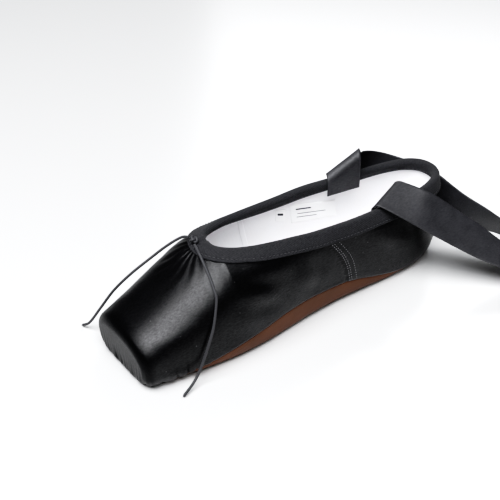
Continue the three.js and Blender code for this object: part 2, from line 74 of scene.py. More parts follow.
def make_camera():
    az, el = math.radians(CAMERA_AZIMUTH), math.radians(CAMERA_ELEVATION)
    back = Vector((math.sin(az) * math.cos(el), -math.cos(az) * math.cos(el), math.sin(el)))
    right = Vector((math.cos(az), math.sin(az), 0))
    up = back.cross(right)
    aim = Vector((0, 0, CAMERA_AIM_HEIGHT)) - right * CAMERA_SLIDE - up * CAMERA_RISE
    data = bpy.data.cameras.new("camera")
    data.lens = CAMERA_LENS
    data.sensor_width = 36
    data.clip_end = 20
    camera = add_object("camera", data)
    turn = Matrix((right, up, back)).transposed().to_4x4()
    camera.matrix_world = Matrix.Translation((aim + back * CAMERA_DISTANCE) * MM) @ turn
    bpy.context.scene.camera = camera


make_camera()

# ---- sizes of the last ----
SHOE_LENGTH = 240.0
PLATFORM_LEAN = 0.10
PLATFORM_TOP = 31.0
LEAN_FADE = 60.0
RIM_RADIUS = 4.5
THROAT = 62.0
HEEL_ROUND_START = 200.0
HEEL_PLAN_POWER = 2.25
HEEL_SETBACK_START = 180.0
UPPER_POWER = 2.35
UPPER_WALL = 2.0
BOX_WALL = 3.2
BOX_END = 52.0
BOX_FADE = 20.0
SOLE_INSET = 0.9
SOLE_THICKNESS = 3.2
SOLE_EDGE_THICKNESS = 1.2
INSOLE_THICKNESS = 2.0
INSOLE_LIFT = SOLE_INSET + SOLE_THICKNESS + 0.3
MEET_GAP = 0.3
BINDING_THICKNESS = 1.1
BINDING_OUTER_DEPTH = 9.0
BINDING_INNER_DEPTH = 6.0
LINING_SPACE = 0.6
SPINE_HEIGHT = 21.0
FLOOR_GAP = 0.05

# Each table is the last's own, station by station from the toe tip.
LAST = {
    "station": (0, 8, 22, 42, 62, 80, 98, 120, 145, 168, 185, 205, 225, 240),
    "half": (27, 28.8, 31, 33.6, 34.8, 34, 31.8, 29.2, 28, 28.2, 28.6, 28, 26.4, 25.5),
    "wide": (13, 14, 16, 18, 20, 21.5, 22, 22, 21.5, 20.5, 19.5, 19, 19, 19),
    "base": (0.4, -0.2, -1.7, -1.7, -1.7, -1.7, -1.6, -0.5, 0.2, -0.5, -1.7, -1.7, -1.7, -0.9),
    "square": (3.6, 3.6, 3.8, 4.6, 5.5, 6, 6.5, 7, 7.5, 7, 6, 5, 4.4, 4),
}
VAMP = {
    "station": (0, 10, 25, 45, 55, 62),
    "crest": (30.5, 34.5, 42, 54, 60.2, 63.5),
}
COLLAR = {
    "station": (62, 68, 80, 104, 125, 150, 180, 210, 240),
    "height": (63.5, 62.8, 61.6, 59.4, 57.4, 56, 54.4, 53.4, 53.4),
    "open": (0, 0.07, 0.17, 0.35, 0.55, 0.7, 0.57, 0.46, 0.59),
}
FEATHER = {
    "station": (0, 12, 25, 45, 70, 105, 145, 175, 200, 240),
    "height": (-6, 0.2, 4.2, 8.6, 13.4, 17.4, 15.4, 8.2, 3.6, 2.6),
}
HEEL_BACK = {
    "height": (-6, 0, 8, 22, 36, 58, 90),
    "setback": (9, 6, 2.6, 0.2, 0, 1.4, 6),
}
TOE_FAN_STATION = 73.0
HEEL_FAN_STATION = 204.0
TOE_HEADINGS = (-90, -84, -78, -73.5, -70, -66, -61, -54, -46, -36, -25, -12)
SIDE_STEPS = 12
HEEL_HEADINGS = (12, 24, 36, 47, 57, 66, 74, 82, 90)


def column(table, value, position):
    """Smooth curve without overshoot through one named column of a table."""
    xs = np.array(next(iter(table.values())), float)
    ys = np.array(table[value], float)
    rise = np.diff(ys) / np.diff(xs)
    slope = np.empty(len(xs))
    slope[0], slope[-1] = rise[0], rise[-1]
    product = rise[:-1] * rise[1:]
    total = np.where(np.abs(rise[:-1] + rise[1:]) < 1e-12, 1, rise[:-1] + rise[1:])
    slope[1:-1] = np.where(product > 0, 2 * product / total, 0)
    at = np.clip(position, xs[0], xs[-1])
    i = np.clip(np.searchsorted(xs, at, side="left") - 1, 0, len(xs) - 2)
    width = xs[i + 1] - xs[i]
    t = (at - xs[i]) / width
    a = 2 * ys[i] - 2 * ys[i + 1] + (slope[i] + slope[i + 1]) * width
    b = 3 * (ys[i + 1] - ys[i]) - (2 * slope[i] + slope[i + 1]) * width
    return a * t**3 + b * t**2 + slope[i] * width * t + ys[i]


def ramp(value):
    t = np.clip(value, 0, 1)
    return t * t * (3 - 2 * t)


def crest_height(station, wide):
    """Top of the last at each station, in front of the throat and behind it."""
    height = column(COLLAR, "height", station)
    reach = np.maximum(1 - column(COLLAR, "open", station), 1e-9) ** (1 / UPPER_POWER)
    behind = wide + (height - wide) / reach
    return np.where(station <= THROAT, column(VAMP, "crest", station), behind)


def outside_last(x, station, z):
    """Negative inside the last, positive outside it."""
    lean = np.maximum(0, 1 - station / LEAN_FADE) ** 2
    back = ramp((station - HEEL_SETBACK_START) / (SHOE_LENGTH - HEEL_SETBACK_START))
    along = station - PLATFORM_LEAN * (PLATFORM_TOP - z) * lean + column(HEEL_BACK, "setback", z) * back
    to_end = SHOE_LENGTH - along
    wide = column(LAST, "wide", along)
    half = column(LAST, "half", along)
    part = np.clip((along - HEEL_ROUND_START) / (SHOE_LENGTH - HEEL_ROUND_START), 0, 1)
    half = half * (1 - part**HEEL_PLAN_POWER) ** (1 / HEEL_PLAN_POWER)
    near_tip = np.clip(RIM_RADIUS - along, 0, RIM_RADIUS)
    shrink = RIM_RADIUS - np.sqrt(RIM_RADIUS**2 - near_tip**2)
    above = z > wide
    power = np.where(above, UPPER_POWER, column(LAST, "square", along))
    reach = np.where(above, crest_height(along, wide) - wide, wide - column(LAST, "base", along))
    across = np.abs(x) / np.maximum(half - shrink, 0.01)
    up = np.abs(z - wide) / (reach - shrink)
    value = (across**power + up**power) ** (1 / power) - 1
    beyond = np.maximum(-along, -to_end) / RIM_RADIUS
    return np.where((along <= 0) | (to_end <= 0), beyond, value)


# ---- lines down the last ----
BISECTIONS = 30
RAY_LENGTH = 160.0
NORMAL_STEP = 0.8
FINE_STEPS = 110
TURN_WEIGHT = 14.0


def ray_direction(heading, elevation):
    level = np.cos(elevation)
    return np.stack([np.cos(heading) * level, np.sin(heading) * level, np.sin(elevation)], -1)


def hit_last(station, direction):
    """Points where rays from the spine leave the last, as x, station, z, with their distances."""
    near = np.zeros(direction.shape[:-1])
    far = np.full(direction.shape[:-1], RAY_LENGTH)
    for _ in range(BISECTIONS):
        middle = (near + far) / 2
        out = outside_last(
            direction[..., 0] * middle,
            station + direction[..., 1] * middle,
            SPINE_HEIGHT + direction[..., 2] * middle,
        ) > 0
        far = np.where(out, middle, far)
        near = np.where(out, near, middle)
    place = direction * near[..., None]
    place[..., 1] += station
    place[..., 2] += SPINE_HEIGHT
    return place, near


def last_normal(station, heading, elevation, distance):
    direction = ray_direction(heading, elevation)
    upward = ray_direction(heading, elevation + math.pi / 2)
    sideways = np.cross(upward, direction)
    step = (NORMAL_STEP / distance)[..., None]

    def span(across):
        ends = []
        for sign in (1, -1):
            ends.append(hit_last(station, unit(direction + across * step * sign))[0])
        return ends[0] - ends[1]

    normal = unit(np.cross(span(upward), span(sideways)))
    facing = np.sum(normal * direction, -1, keepdims=True)
    return np.where(facing < 0, -normal, normal)


def lay_out_meridians(finer):
    """Station and heading of every line down the last, starting dead ahead and going round."""
    half = [(TOE_FAN_STATION, h) for h in TOE_HEADINGS]
    half += [
        (TOE_FAN_STATION + (HEEL_FAN_STATION - TOE_FAN_STATION) * i / SIDE_STEPS, 0)
        for i in range(SIDE_STEPS + 1)
    ]
    half += [(HEEL_FAN_STATION, h) for h in HEEL_HEADINGS]
    ring = half + [(s, 180 - h) for s, h in half[-2:0:-1]] + [(half[0][0], 270)]
    at = np.arange((len(ring) - 1) * finer) / finer
    known = np.arange(len(ring))
    stations = np.interp(at, known, [s for s, _ in ring])
    headings = np.radians(np.interp(at, known, [h for _, h in ring]))
    return stations, headings


def crossing(start, end, table):
    """Elevation between start and end where each line down the last comes to the table's height."""
    before = np.full(STATIONS.shape, float(start))
    past = np.full(STATIONS.shape, float(end))
    for _ in range(BISECTIONS):
        middle = (before + past) / 2
        place, _ = hit_last(STATIONS, ray_direction(HEADINGS, middle))
        beyond = place[:, 2] <= column(table, "height", place[:, 1])
        past = np.where(beyond, middle, past)
        before = np.where(beyond, before, middle)
    return (before + past) / 2


class Stretch:
    """The last's surface along every meridian between two elevations."""

    def __init__(self, station, heading, start, end):
        t = np.linspace(0, 1, FINE_STEPS + 1)[:, None]
        elevation = start + (end - start) * t
        where = np.broadcast_to(station, elevation.shape)
        towards = np.broadcast_to(heading, elevation.shape)
        place, distance = hit_last(where, ray_direction(towards, elevation))
        self.normal = last_normal(where, towards, elevation, distance)
        self.place = place - np.array([0, SHOE_LENGTH / 2, 0])
        run = np.linalg.norm(np.diff(self.place, axis=0), axis=-1)
        dots = np.sum(self.normal[1:] * self.normal[:-1], -1)
        turn = np.arccos(np.clip(dots, -1, 1))
        zero = np.zeros((1, len(station)))
        self.length = np.vstack([zero, np.cumsum(run, 0)])
        self.measure = np.vstack([zero, np.cumsum(run + TURN_WEIGHT * turn, 0)])

    def sample(self, key, value):
        """Places and normals at a length or measure on each meridian, straight on before its start."""
        known = getattr(self, key)
        value = np.broadcast_to(value, known.shape[1:])
        index = np.clip(np.sum(known <= value, axis=0) - 1, 0, len(known) - 2)
        cols = np.arange(known.shape[1])
        t = (value - known[index, cols]) / (known[index + 1, cols] - known[index, cols])
        place = self.place[index, cols] + (self.place[index + 1, cols] - self.place[index, cols]) * t[:, None]
        t = np.clip(t, 0, 1)[:, None]
        normal = self.normal[index, cols] * (1 - t) + self.normal[index + 1, cols] * t
        return place, unit(normal)


FINER = 8
STATIONS, HEADINGS = lay_out_meridians(FINER)
COLLAR_AT = crossing(math.pi / 2, 0, COLLAR)
FEATHER_AT = crossing(0, -math.pi / 2, FEATHER)
SIDE = Stretch(STATIONS, HEADINGS, COLLAR_AT, FEATHER_AT)
UNDER = Stretch(STATIONS, HEADINGS, FEATHER_AT, -math.pi / 2)


def wall_at(place):
    return BOX_WALL + (UPPER_WALL - BOX_WALL) * ramp((place[..., 1] + SHOE_LENGTH / 2 - BOX_END) / BOX_FADE)


# ---- mesh helpers ----
def make_mesh(name, points, faces, materials, face_material=None, smooth=True, uv=None):
    """Object from points in millimetres and faces as lists of indices."""
    mesh = bpy.data.meshes.new(name)
    mesh.from_pydata((np.asarray(points) * MM).tolist(), [], [tuple(int(i) for i in f) for f in faces])
    mesh.validate()
    for material in materials:
        mesh.materials.append(material)
    if face_material is not None and len(face_material) == len(mesh.polygons):
        mesh.polygons.foreach_set("material_index", np.asarray(face_material, np.int32))
    mesh.polygons.foreach_set("use_smooth", [smooth] * len(mesh.polygons))
    if uv is not None:
        layer = mesh.uv_layers.new(name="UVMap")
        corner = np.empty(len(mesh.loops), np.int32)
        mesh.loops.foreach_get("vertex_index", corner)
        layer.data.foreach_set("uv", np.asarray(uv, np.float32)[corner].ravel())
    mesh.update()
    return add_object(name, mesh)


def grid_faces(rows, cols, closed_cols=True, closed_rows=False):
    """Quads between neighbouring rows and columns of a grid of points stored row by row."""
    r = np.arange(rows if closed_rows else rows - 1)
    c = np.arange(cols if closed_cols else cols - 1)
    rr, cc = np.meshgrid(r, c, indexing="ij")
    rn, cn = (rr + 1) % rows, (cc + 1) % cols
    return np.stack([rr * cols + cc, rn * cols + cc, rn * cols + cn, rr * cols + cn], -1).reshape(-1, 4)


def facing_out(obj):
    """Turns every face outward on a closed mesh."""
    work = bmesh.new()
    work.from_mesh(obj.data)
    bmesh.ops.recalc_face_normals(work, faces=work.faces)
    work.to_mesh(obj.data)
    work.free()
    return obj


def tube(name, route, radius, material, sides=12, taper=1.0):
    """Round tube along a list of points, with closed ends."""
    route = np.asarray(route, float)
    tangent = unit(np.gradient(route, axis=0))
    radii = radius * np.broadcast_to(taper, (len(route), sides))[..., None]
    angle = np.linspace(0, 2 * math.pi, sides, endpoint=False)[:, None]
    side = np.cross(tangent[0], [0.3, 0.2, 0.93])
    rings = []
    for place, t, reach in zip(route, tangent, radii):
        side = unit(side - t * np.dot(side, t))
        rings.append(place + (np.cos(angle) * side + np.sin(angle) * np.cross(t, side)) * reach)
    points = np.vstack(rings + [route[:1], route[-1:]])
    faces = grid_faces(len(rings), sides).tolist()
    first, last = len(points) - 2, len(points) - 1
    end = (len(rings) - 1) * sides
    for k in range(sides):
        n = (k + 1) % sides
        faces += [[first, k, n], [last, end + n, end + k]]
    return facing_out(make_mesh(name, points, faces, [material]))


def slab(name, top, foot, material):
    """Thin closed sheet between two grids of points."""
    rows, across = top.shape[:2]
    width = 2 * across
    points = np.concatenate([top, foot[:, ::-1]], axis=1).reshape(-1, 3)
    faces = grid_faces(rows, width).tolist()
    for start in (0, (rows - 1) * width):
        for c in range(across - 1):
            end = start + width - 1 - c
            faces.append([start + c, start + c + 1, end - 1, end])
    return facing_out(make_mesh(name, points, faces, [material]))


def run_along(line):
    """Length from a line's first point to each of its points."""
    return np.concatenate([[0], np.cumsum(np.linalg.norm(np.diff(line, axis=0), axis=1))])


def at_run(at, run, values):
    """Rows of values at the given lengths along a line."""
    return np.stack([np.interp(at, run, values[:, k]) for k in range(values.shape[1])], -1)


def spline(points, steps):
    """Even points along a smooth curve through given ones."""
    p = np.asarray(points, float)
    ends = np.vstack([2 * p[0] - p[1], p, 2 * p[-1] - p[-2]])
    fine = []
    for i in range(1, len(ends) - 2):
        a, b, c, d = ends[i - 1:i + 3]
        t = np.linspace(0, 1, 24, endpoint=False)[:, None]
        bend = (2 * a - 5 * b + 4 * c - d) * t**2 + (3 * b - a - 3 * c + d) * t**3
        fine.append(0.5 * (2 * b + (c - a) * t + bend))
    fine = np.vstack(fine + [p[-1:]])
    run = run_along(fine)
    return at_run(np.linspace(0, run[-1], steps), run, fine)


# ---- materials ----
class Looks:
    """A material being made: each method adds nodes and returns what the last one gives out."""

    def __init__(self, name):
        self.material = bpy.data.materials.new(name)
        self.material.use_nodes = True
        self.tree = self.material.node_tree
        self.shader = self.tree.nodes["Principled BSDF"]

    def fill(self, node, inputs):
        for key, value in inputs.items():
            if isinstance(value, bpy.types.NodeSocket):
                self.tree.links.new(value, node.inputs[key])
            else:
                node.inputs[key].default_value = value

    def add(self, kind, output, inputs, **settings):
        node = self.tree.nodes.new("ShaderNode" + kind)
        for key, value in settings.items():
            setattr(node, key, value)
        self.fill(node, inputs)
        return node.outputs[output]

    def place(self, scale=(1, 1, 1), source="Object"):
        """Coordinates of the piece, stretched along each axis."""
        return self.add("Mapping", "Vector", {"Vector": self.add("TexCoord", source, {}), "Scale": scale})

    def noise(self, place, scale, detail, rough=0.5):
        inputs = {"Vector": place, "Scale": scale, "Detail": detail, "Roughness": rough}
        return self.add("TexNoise", "Fac", inputs)

    def wave(self, place, scale, direction, distortion):
        inputs = {"Vector": place, "Scale": scale, "Distortion": distortion}
        return self.add("TexWave", "Fac", inputs, bands_direction=direction)

    def calc(self, operation, *values):
        return self.add("Math", "Value", dict(enumerate(values)), operation=operation)

    def mix(self, factor, first, second):
        return self.add("Mix", "Result", {"Factor": factor, "A": first, "B": second}, data_type="RGBA")

    def ramp(self, factor, *stops):
        """Colours that blend from stop to stop, each stop a position and a colour."""
        colour = self.add("ValToRGB", "Color", {"Fac": factor})
        elements = colour.node.color_ramp.elements
        while len(elements) < len(stops):
            elements.new(0.5)
        for element, (position, tone) in zip(elements, stops):
            element.position = position
            element.color = (*tone, 1)
        return colour

    def finish(self, colour, rough, level, height, depth, strength):
        """The material, with its colour, roughness, specular level and bump (depth in metres) in place."""
        normal = self.add("Bump", "Normal", {"Height": height, "Distance": depth, "Strength": strength})
        inputs = {"Base Color": colour, "Roughness": rough, "Specular IOR Level": level, "Normal": normal}
        self.fill(self.shader, inputs)
        return self.material


def shade(colour, share):
    return [min(1, c * share) for c in colour]


LINT_SCALE = 150
LINT_SIZE = 0.055
MATTE_SHARE = 0.42
MATTE_FADE = 0.002


def satin_material(name, colour, rough, shine, matte_ahead_of=None, folded=False):
    """Smooth satin: long floats along the piece, tiny slubs, a little lint, a duller platform and, with
    folded set, painted shade (lower gloss) in pleat valleys and small folds.
    """
    looks = Looks(name)
    place = looks.place()
    tint = looks.ramp(looks.noise(place, 90, 3), (0.3, shade(colour, 0.8)), (0.7, shade(colour, 1.25)))
    specks = looks.add("TexVoronoi", "Distance", {"Vector": place, "Scale": LINT_SCALE})
    lint = looks.mix(looks.calc("LESS_THAN", specks, LINT_SIZE), tint, (*[0.05 + c for c in colour], 1))
    streak = looks.noise(looks.place((1, 0.2, 1)), 1700, 3, 0.65)
    weave = looks.calc("ADD", streak, looks.noise(place, 1900, 3, 0.65))
    level = looks.calc("MULTIPLY_ADD", looks.noise(place, 60, 2), 0.12, rough - 0.06)
    floats = looks.noise(looks.place((1, 0.3, 1)), 1350, 3, 0.7)
    gloss = looks.calc("MULTIPLY", looks.calc("MULTIPLY_ADD", floats, 1.7, 0.15), shine)
    # Painted shade: with folded set, the gloss is cut in pleat valleys and in the small folds by the knot,
    # from a per-point attribute made with the upper.
    if folded:
        gloss = looks.calc("MULTIPLY", gloss, looks.add("Attribute", "Fac", {}, attribute_name="gloss_after_painted_shade"))
    if matte_ahead_of is not None:
        inputs = {"Value": looks.add("SeparateXYZ", "Y", {"Vector": place}), "To Min": MATTE_SHARE}
        inputs["From Min"] = matte_ahead_of - MATTE_FADE
        inputs["From Max"] = matte_ahead_of + MATTE_FADE
        gloss = looks.calc("MULTIPLY", gloss, looks.add("MapRange", "Result", inputs))
    return looks.finish(lint, level, gloss, weave, 0.00013, 0.6)


def twill_material(name, colour):
    """Cotton twill tape with its diagonal ribs, from the tape's own length and width."""
    looks = Looks(name)
    place = looks.place()
    ribs = looks.wave(looks.place(source="UV"), 0.42, "DIAGONAL", 0.6)
    height = looks.calc("MULTIPLY_ADD", looks.noise(place, 2600, 4, 0.7), 0.8, ribs)
    mottled = looks.noise(place, 1100, 4, 0.6)
    tint = looks.ramp(mottled, (0.3, shade(colour, 0.7)), (0.72, shade(colour, 1.45)))
    looks.fill(looks.shader, {"Sheen Weight": 0.06})
    return looks.finish(tint, 0.88, 0.12, height, 0.00016, 0.7)


def canvas_material(name, colour, yellowing=0.03):
    """Plain woven cotton with faint handling marks."""
    looks = Looks(name)
    place = looks.place()
    weave = looks.calc("MULTIPLY", looks.wave(place, 330, "Y", 0.8), looks.wave(place, 330, "Z", 0.8))
    worn = [c - yellowing * (0.6 + 0.5 * i) for i, c in enumerate(colour)]
    tint = looks.ramp(looks.noise(place, 45, 4, 0.6), (0.35, colour), (0.75, worn))
    return looks.finish(tint, 0.9, 0.25, weave, 0.00012, 0.5)


def leather_material(name, colour):
    """Vegetable-tanned sole leather: fine pores, faint scuffs along the length."""
    looks = Looks(name)
    place = looks.place()
    cloud = looks.noise(place, 38, 4, 0.55)
    base = looks.ramp(cloud, (0.3, shade(colour, 0.74)), (0.55, colour), (0.75, shade(colour, 1.3)))
    scuff = looks.noise(looks.place((3, 0.25, 3)), 160, 5, 0.7)
    scuffed = looks.ramp(scuff, (0.6, (0, 0, 0)), (0.78, (0.35, 0.35, 0.35)))
    tint = looks.mix(scuffed, base, (*shade(colour, 1.7), 1))
    level = looks.calc("MULTIPLY_ADD", cloud, 0.25, 0.42)
    return looks.finish(tint, level, 0.25, looks.noise(place, 1500, 5, 0.65), 0.00012, 0.45)


def thread_material(name, colour, rough=0.6):
    """Twisted thread or cord with a fine fuzz."""
    looks = Looks(name)
    fuzz = looks.noise(looks.place(), 3200, 3, 0.7)
    tint = looks.ramp(fuzz, (0.3, shade(colour, 0.7)), (0.7, colour))
    return looks.finish(tint, rough, 0.3, fuzz, 0.00008, 0.6)


SATIN = satin_material("satin", (0.0022, 0.0022, 0.0027), 0.31, 0.3, matte_ahead_of=-0.1135, folded=True)
RIBBON_SATIN = satin_material("ribbon", (0.026, 0.026, 0.029), 0.5, 0.5)
TWILL = twill_material("twill", (0.026, 0.026, 0.028))
LINING = canvas_material("lining", (0.93, 0.93, 0.945))
LABEL = canvas_material("label", (0.96, 0.96, 0.96), 0.01)
LEATHER = leather_material("sole_leather", (0.105, 0.042, 0.022))
CORD = thread_material("cord", (0.05, 0.05, 0.054), 0.45)
PALE_THREAD = thread_material("pale_thread", (0.26, 0.26, 0.27))
DARK_THREAD = thread_material("dark_thread", (0.07, 0.07, 0.075), 0.4)
PRINT = thread_material("print", (0.025, 0.025, 0.03))


def finish_piece(obj, material_slot, *nodes):
    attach(obj, "root")
    if nodes:
        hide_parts(*nodes)
    return obj


# ---- satin: creases and folds ----
def near_curve(points, curve):
    """Distance of each point to a curve and the share of the curve at the nearest place."""
    fine = spline(curve, 40)
    gap = np.linalg.norm(points[:, None, :] - fine[None, :, :], axis=-1)
    index = gap.argmin(1)
    return gap[np.arange(len(points)), index], index / (len(fine) - 1)


# Soft troughs and ridges in the satin: width, height (negative for a trough), then the curve on the shoe.
CREASES = [
    (6.5, 1.5, (20, -50, 58), (26, -40, 54), (29, -28, 49), (29, -16, 46)),
    (4.5, -0.6, (19, -62, 57), (27, -54, 50), (31, -40, 45), (31, -26, 42)),
    (5, 1.0, (27, -62, 47), (31, -50, 43), (33, -36, 37), (33, -24, 31)),
    (5, -0.9, (32, -54, 36), (34, -40, 30), (33.5, -26, 25)),
    (4.5, 1.1, (30, -16, 42), (31, -8, 35), (31, 2, 26)),
    (4, -0.9, (29, -6, 46), (30, 2, 39), (30, 9, 29)),
    (1.6, -0.5, (-2, -68, 61), (-7, -75, 56), (-15, -86, 46)),
    (1.6, -0.45, (-5, -67, 61), (-11, -72, 56.5), (-20, -80, 47)),
    (1.5, 0.3, (-3, -67, 61.5), (-9, -74, 56), (-17, -83, 47)),
    (2.0, -0.22, (0, -69, 60.5), (-2, -80, 54), (-5, -92, 46)),
    (6, 0.5, (34, -62, 36), (35, -52, 27), (34.5, -40, 19)),
    (6, -0.4, (34, -76, 30), (35, -66, 22), (34.5, -56, 16)),
    (6, 1.0, (28, 42, 45), (28.5, 54, 37), (28, 64, 26)),
    (5, -1.0, (28, 60, 46), (29, 72, 38), (28, 82, 27)),
    (5, 0.9, (26, 76, 47), (26.5, 88, 40), (25, 98, 30)),
    (4, -0.4, (24, 92, 46), (22, 102, 38), (18, 110, 28)),
    (5, 0.3, (20, -112, 33), (25, -102, 31), (28, -88, 33)),
    (4.5, 0.6, (-30, -44, 50), (-33, -34, 42), (-32, -22, 34)),
    (4, -0.55, (-14, -64, 59), (-24, -56, 54), (-30, -42, 48)),
    (6, 0.55, (-30, -10, 42), (-30.5, 4, 34), (-30, 16, 24)),
    (6, -0.5, (-29, 36, 44), (-29.5, 48, 36), (-29, 60, 26)),
    (5, 0.5, (-27, 74, 46), (-27, 86, 40), (-25, 98, 30)),
]


def crease_height(points):
    lift = np.zeros(len(points))
    for width, height, *curve in CREASES:
        gap, share = near_curve(points, curve)
        lift += height * np.sin(np.pi * share) ** 1.5 * bell(gap, width)
    return lift


def gentle_waves(points):
    """Slow unevenness of satin stretched over a hand-built box."""
    x, y, z = points.T
    toe = ramp((20 - y) / 60)
    slow = np.sin(y / 9.5 + x / 14 + z / 17 + 0.6) * np.sin(x / 8.5 - z / 9) * (0.26 - 0.16 * toe)
    quick = np.sin(y / 3.9 + np.sin(z / 6.0) * 1.4 + z / 5.5) * np.sin(z / 5.2 + 1.1) * 0.05
    return slow + quick


PLEAT_SPACING = 6.2
PLEAT_REACH = 8.0
TOE_CENTRE = -78.0
TOE_RADIUS = 34.0


def pleat_height(points, drop_to_feather):
    """Pleats gathered into the sole seam round the toe, and how deep in a pleat each point lies."""
    x, y, z = points.T
    station = y + SHOE_LENGTH / 2
    front = ramp((50 - station) / 24)
    along = np.arctan2(x, TOE_CENTRE - y) * TOE_RADIUS
    phase = along / PLEAT_SPACING * 2 * np.pi + 1.4 * np.sin(along / 7.0)
    valley = bell(np.sin(phase / 2), 0.36)
    reach = PLEAT_REACH * (0.7 + 0.35 * np.sin(along * 0.83 + 1.0))
    above_edge = np.minimum(drop_to_feather, np.maximum(z, 0))
    near_edge = bell(above_edge, reach)
    streaks = 0.16 * np.sin(along * 2.9 + np.sin(z / 5)) * bell(z, 13)
    lift = ((0.35 - 1.35 * valley) * near_edge + streaks * ramp((-100 - y) / 12)) * front
    return lift, valley * near_edge * front


GATHERED_AT = (-3.5, -60.0)
SMALL_FOLD = 2.0


def round_the_knot(points):
    """Distance and angle from the place where the drawstring gathers the throat."""
    dx, dy = points[:, 0] - GATHERED_AT[0], points[:, 1] - GATHERED_AT[1]
    return np.hypot(dx, dy), np.arctan2(dx, -dy)


def gather_height(points):
    """Small radiating puckers where the drawstring pulls the throat in."""
    reach, angle = round_the_knot(points)
    near = bell(reach - 8, 13) * ramp((reach - 3) / 5) * ramp((-points[:, 1] - 52) / 10)
    return 0.16 * near * np.sin(angle * 19 + 0.8 * np.sin(reach / 4))


def gather_shade(points):
    """Painted shade lines in the small folds beside the knot."""
    dark = np.zeros(len(points))
    for width, height, *curve in CREASES:
        if width < SMALL_FOLD and height < 0:
            gap, share = near_curve(points, curve)
            dark += 0.7 * np.sin(np.pi * share) * bell(gap, 0.9)
    return dark


SIDE_SEAM = [(26.6, 12.0, 48.0), (27.9, 20.0, 36.5), (28.4, 24.0, 27.0), (27.6, 27.0, 14.6)]


def seam_height(points):
    """Folded edge where the quarters overlap at the waist, on both sides, and the back seam."""
    _, seam_y, seam_z = np.array(SIDE_SEAM[::-1]).T
    lift = np.zeros(len(points))
    for side in (1, -1):
        gap, _ = near_curve(points * [side, 1, 1], SIDE_SEAM)
        ahead = points[:, 1] < np.interp(points[:, 2], seam_z, seam_y)
        same_side = points[:, 0] * side > 0
        step = np.where(ahead, bell(gap, 1.9) * -0.4, 0.3 * bell(gap, 8.0, 4))
        lift += np.where(same_side & (gap < 12), step, 0)
    back = (points[:, 1] > 100) & (np.abs(points[:, 0]) < 6)
    x = points[:, 0]
    lift += np.where(back, 0.28 * bell(x, 3.6, 4) - 0.5 * bell(x, 0.5), 0)
    return lift


SATIN_ROWS = 132
LINING_EVERY = 4
SEAM_GAP = 0.1
FREE_FROM = 5.0
FREE_FADE = 7.0
cols = len(STATIONS)


def satin_grid():
    """Places and normals down the satin, row by row; the last row ends just above the sole seam."""
    rows = [SIDE.sample("measure", SIDE.measure[-1] * r / SATIN_ROWS) for r in range(SATIN_ROWS)]
    rows.append(SIDE.sample("length", SIDE.length[-1] - SEAM_GAP))
    return np.vstack([p for p, _ in rows]), np.vstack([n for _, n in rows])


def make_upper():
    place, normal = satin_grid()
    rows = SATIN_ROWS + 1
    grid = place.reshape(rows, cols, 3)
    run = np.linalg.norm(np.diff(grid, axis=0), axis=-1)
    from_feather = np.vstack([np.cumsum(run[::-1], 0)[::-1], np.zeros((1, cols))]).ravel()
    from_collar = np.vstack([np.zeros((1, cols)), np.cumsum(run, 0)]).ravel()
    free = ramp((from_collar - FREE_FROM) / FREE_FADE)
    lift = (crease_height(place) + gentle_waves(place) + gather_height(place)) * free
    pleats, depth = pleat_height(place, from_feather)
    lift = lift * ramp(from_feather / 4) + pleats + seam_height(place) * ramp((from_collar - 3) / 4)
    tuck = -0.6 * bell(from_feather, 0.8)
    outer = place + normal * (lift + tuck)[:, None]
    outer[:, 2] = np.maximum(outer[:, 2], FLOOR_GAP)
    inner = place - normal * wall_at(place)[:, None]
    inner_grid = inner.reshape(rows, cols, 3)[::-LINING_EVERY].reshape(-1, 3)
    points = np.vstack([outer, inner_grid])
    all_rows = len(points) // cols
    faces = grid_faces(all_rows, cols, True, True)
    strip = faces[:, 0] // cols
    lined = (strip >= rows - 1) & (strip < all_rows - 1)
    obj = make_mesh("satin_upper", points, faces, [SATIN, LINING], lined.astype(int))
    # Painted shade: the share of gloss taken away in pleat valleys and in the small folds by the knot, kept
    # on the points for the satin material.
    fold_shade_share = np.clip(1.15 * depth + gather_shade(place), 0, 0.9)
    gloss_after_painted_shade = np.concatenate([1 - fold_shade_share, np.ones(len(inner_grid))])
    obj.data.attributes.new("gloss_after_painted_shade", "FLOAT", "POINT").data.foreach_set("value", gloss_after_painted_shade)
    return facing_out(obj)


finish_piece(make_upper(), "satin", "upper")

# ---- outsole ----
OUTSOLE_ROWS = 60


def make_outsole():
    outer, inner = [], []
    full = UNDER.measure[-1]
    for r in range(OUTSOLE_ROWS + 1):
        part = r / OUTSOLE_ROWS
        thickness = SOLE_EDGE_THICKNESS + (SOLE_THICKNESS - SOLE_EDGE_THICKNESS) * ramp(part * 2)
        if r == 0:
            place, normal = UNDER.sample("length", MEET_GAP)
        else:
            place, normal = UNDER.sample("measure", full * part)
        inset = SOLE_INSET + 0.35 * math.exp(-r / 1.2)
        skin = place - normal * inset
        ripple = 0.10 * np.sin(place[:, 1] / 7.0 + place[:, 2] / 3.0) * ramp(place[:, 2] / 5)
        skin = skin + normal * ripple[:, None]
        skin[:, 2] = np.maximum(skin[:, 2], 0)
        outer.append(skin)
        inner.append(place - normal * (SOLE_INSET + thickness))
    points = np.vstack(outer[::-1] + inner)
    faces = grid_faces(2 * (OUTSOLE_ROWS + 1), cols)
    lined = faces[:, 0] // cols > OUTSOLE_ROWS
    return facing_out(make_mesh("leather_outsole", points, faces, [LEATHER, LINING], lined.astype(int)))


finish_piece(make_outsole(), "sole_leather", "outsole")

# ---- insole ----
INSOLE_ROWS = 14
INSOLE_EDGE = 0.8


def insole_top(place):
    return column(LAST, "base", place[..., 1] + SHOE_LENGTH / 2) + INSOLE_LIFT + INSOLE_THICKNESS


